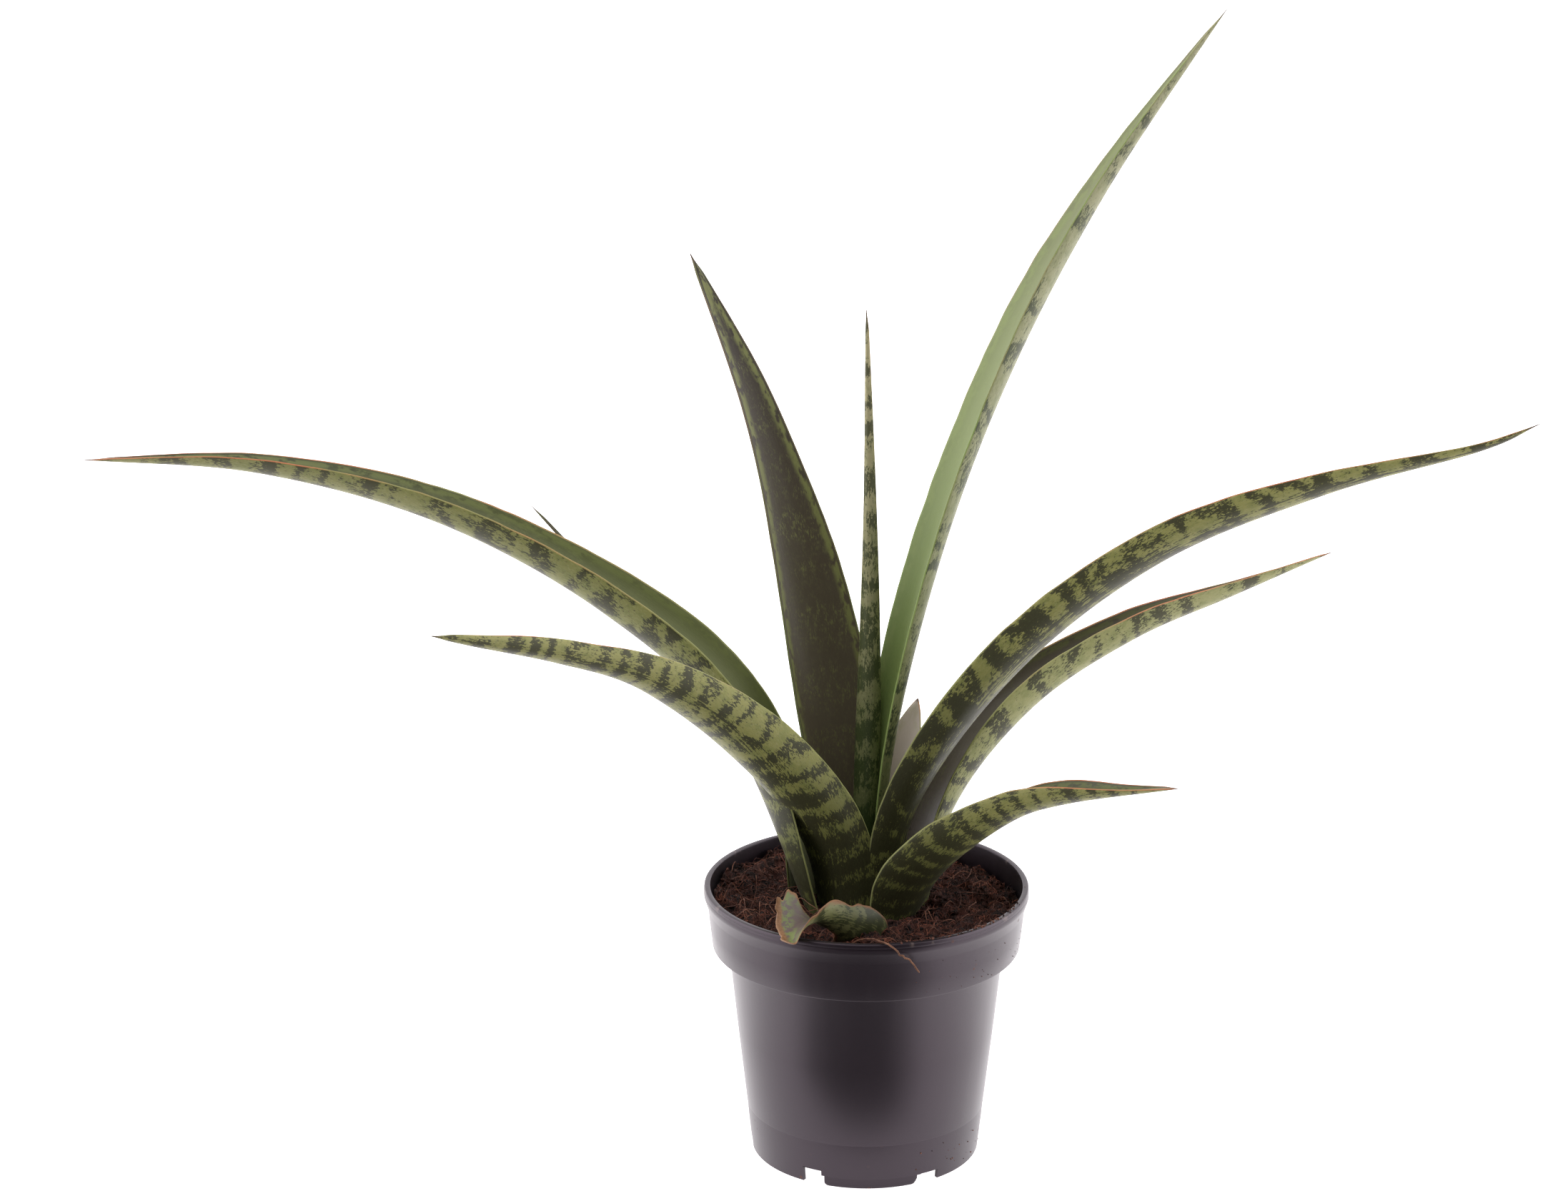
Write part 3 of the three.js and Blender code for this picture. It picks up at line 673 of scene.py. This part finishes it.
grow("leaf_back_broad", 11, 125, [(0, 84), (8, 149), (26, 213), (56, 269), (100, 320)],
     [25, 33, 36, 30, 20, 12, 2], [65, 45, 39], [0, -11, 0],
     leaf_skin("leaf_skin_broad", 8.3, GROUND, BAND,
               ((0.09, 0.076, 0.046, 1), (0.014, 0.01, 0.007, 1), (0.13, 0.14, 0.045, 1)),
               pitch=12, fleck=0.62, margin=((0.11, 0.13, 0.045, 1), (0.12, 0.09, 0.05, 1))), seed=3.0)
grow("leaf_right_long", 11, 345,
     [(0, 84), (10, 135), (47, 192), (97, 237), (154, 266), (208, 285.5), (228.5, 296.5)],
     [27, 35, 35, 30, 24, 12, 2], [70, 62, 46], [0, -35, -44],
     leaf_skin("leaf_skin_long_right", 12.9, GROUND, BAND, INSIDE, pitch=17, dark=0.24, base=115,
               streaks=2.3, irregular=1.1), seed=4.0)
grow("leaf_left_front", 14, 220,
     [(0, 84), (7, 124), (39, 168), (79, 201), (120, 220), (160, 234), (177, 240)],
     [39, 41, 35, 25, 16, 11, 2], [80, 61, 53], [0, 54, 60],
     leaf_skin("leaf_skin_front", 17.3, GROUND, BAND, INSIDE, pitch=10.5, dark=0.1, base=60, streaks=0.9,
               irregular=0.6), seed=5.0)
grow("leaf_back_young", 18, 58, [(0, 84), (3, 112), (11, 139), (23, 163)],
     [20, 22, 22.5, 22, 19, 13, 2], [35, 43, 30], [0, -5, 5],
     leaf_skin("leaf_skin_young", 21.1, GROUND, BAND,
               ((0.2, 0.172, 0.145, 1), (0.31, 0.27, 0.225, 1), (0.25, 0.235, 0.16, 1)), pitch=12, fleck=0.3),
     slot="leaf_young", thick=2.0, seed=6.0)
grow("leaf_left_long", 16, 176, [(0, 84), (33, 162), (77, 205), (136, 238), (202, 256), (269, 260)],
     [32, 49, 50, 41, 33, 20, 2], [54, 86, 80, 66], [-10, 0, 6, 9, 9],
     leaf_skin("leaf_skin_long_left", 25.7, ((0.15, 0.155, 0.045, 1), (0.17, 0.168, 0.06, 1)), BAND,
               ((0.15, 0.17, 0.065, 1), (0.014, 0.015, 0.007, 1), (0.13, 0.15, 0.05, 1)),
               pitch=15, dark=0.1, base=50, streaks=1.3), seed=7.0)
grow("leaf_right_small", 18, 328, [(0, 84), (14, 111), (43, 138), (68, 151), (112, 165.5)],
     [31, 48, 44, 33, 26, 12, 2], [50, 90, 64], [0, -11, 2],
     leaf_skin("leaf_skin_small", 30.3, GROUND, BAND, INSIDE, pitch=7.5, dark=0.12, base=45, streaks=0.7,
               irregular=0.55), seed=8.0)
grow("leaf_left_rear", 28, 150, [(0, 84), (9, 140), (40, 174), (80, 199), (115, 227)],
     [14, 16, 15, 12, 8, 4, 1.6], [40, 50, 50], [0, 0, 0],
     leaf_skin("leaf_skin_rear", 34.9, GROUND, BAND, INSIDE, pitch=11,
               margin=((0.11, 0.12, 0.04, 1), (0.04, 0.03, 0.016, 1))), thick=1.8, seed=9.0)
grow("leaf_right_mid", 25, 27, [(0, 84), (13, 127), (46, 160), (90, 180), (135, 191), (179.5, 202)],
     [30, 41, 44, 35, 27, 16, 2], [38, 108, 55], [-10, -13, -28],
     leaf_skin("leaf_skin_mid", 38.1, ((0.17, 0.175, 0.06, 1), (0.22, 0.22, 0.095, 1)), BAND,
               ((0.075, 0.063, 0.048, 1), (0.05, 0.046, 0.026, 1), (0.09, 0.1, 0.036, 1)),
               pitch=12, dark=0.03, base=10, streaks=0.8), seed=10.0)

# ---- the torn leaf ----
# An old leaf broken off short: it has dried, curled and turned over on its way across the front of
# the rim, so that its outer face shows first and its grey inner face at the frayed end.
TORN_KEEL = [(5, -22, 84), (3, -30, 96), (-4, -37, 103), (-12, -42, 107), (-21, -45.5, 107.3),
             (-28.5, -47, 107.5), (-34, -48.5, 108)]
TORN_ACROSS = [(0.85, 0.3, 0.4), (0.6, 0.15, 0.8), (0.15, 0, 1), (-0.1, -0.3, 1), (-0.25, -0.9, 0.2),
               (-0.3, -0.85, -0.45), (-0.1, -0.75, -0.66)]
keel_points = [Vector(p) * MM + AXIS for p in TORN_KEEL]
across_points = [Vector(p) for p in TORN_ACROSS]
torn_fine = [between(keel_points, i / 200) for i in range(201)]
torn_length = sum((b - a).length for a, b in zip(torn_fine, torn_fine[1:]))


def torn_at(share):
    i = min(199, int(share * 200))
    here = torn_fine[i].lerp(torn_fine[i + 1], share * 200 - i)
    return here, (torn_fine[min(i + 2, 200)] - torn_fine[max(i - 1, 0)]).normalized()


torn_leaf = leaf_body(torn_at, torn_length, lambda t: between(across_points, t),
                      [16, 18, 18, 14.5, 18, 28, 18], [45, 50, 52, 56], [0, 0], 1.5, rows=60, wave=0.5,
                      seed=3.4, torn=0.07)
torn_skin = leaf_skin("leaf_skin_torn", 42.3, ((0.17, 0.17, 0.07, 1), (0.2, 0.2, 0.09, 1)),
                      ((0.027, 0.032, 0.01, 1), (0.04, 0.045, 0.017, 1)),
                      ((0.095, 0.07, 0.064, 1), (0.1, 0.075, 0.068, 1), (0.13, 0.16, 0.055, 1)),
                      pitch=6, dark=0.0, base=8, streaks=1.6, dry=1.6,
                      margin=((0.2, 0.12, 0.055, 1), (0.26, 0.13, 0.06, 1)))
finish_leaf("leaf_broken_blade", torn_leaf, torn_skin, "leaf_broken_curled")

# ---- the loose root and the dirt ----
# A dry root has been pulled out over the rim and hangs down the collar. Crumbs of potting mix cling
# to the rim, the collar and the foot, as they do after potting.
ROOT = [(-9, -44, 96), (-6, -49, 101), (-2, -53, 104.6), (1, -56.2, 105.8), (5, -58.8, 105.8),
        (8.5, -61, 104.6), (11.5, -60.7, 101.3), (14.5, -59.6, 99.2), (16.4, -58.9, 96.4), (18, -58.2, 93.6)]
ROOT_KINK = 0.7 * MM
root_line = [Vector(p) * MM + AXIS for p in ROOT]
kinked = []
for i in range(35):
    kink = Vector((noise.noise((i * 0.8, 1, 0)), 0, noise.noise((i * 0.8, 5, 0))))
    kinked.append(between(root_line, i / 34) + kink * ROOT_KINK)
threads("root_thread", [(kinked, 1.0)], 0.34 * MM,
        fibre_skin("dry_root", (0.06, 0.022, 0.012, 1), (0.2, 0.095, 0.05, 1)), ["root_strand"],
        sides=2, steps=3)

DIRT_CRUMBS = 150
dirt = bmesh.new()
chance = random.Random(23)
for _ in range(DIRT_CRUMBS):
    turn = math.radians(chance.gauss(-44, 17))              # most of them right of the front
    kind = chance.random()
    if kind < 0.6:                                          # on the lip
        out, high, size = chance.uniform(57.6, 59.4) * MM, POT_HEIGHT, chance.uniform(0.12, 0.45) * MM
    elif kind < 0.85:                                       # on the collar
        high = chance.uniform(83, 100) * MM
        out, size = 57 * MM + (high - 82 * MM) * 0.1, chance.uniform(0.1, 0.22) * MM
    else:                                                   # low on the wall
        high = chance.uniform(3, 16) * MM
        out, size = wall_radius(high), chance.uniform(0.12, 0.35) * MM
    made = bmesh.ops.create_icosphere(dirt, subdivisions=1, radius=size)["verts"]
    for point in made:
        point.co *= chance.uniform(0.7, 1.3)
    bmesh.ops.translate(dirt, vec=(out * math.cos(turn), out * math.sin(turn), high + 0.2 * size), verts=made)
bmesh.ops.translate(dirt, vec=AXIS, verts=dirt.verts)
finish_mesh("dirt_crumbs", dirt, fibre_skin("dirt_skin", (0.016, 0.006, 0.004, 1), (0.16, 0.06, 0.033, 1)))

# ---- the bounds of the pieces shown ----
low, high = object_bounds()
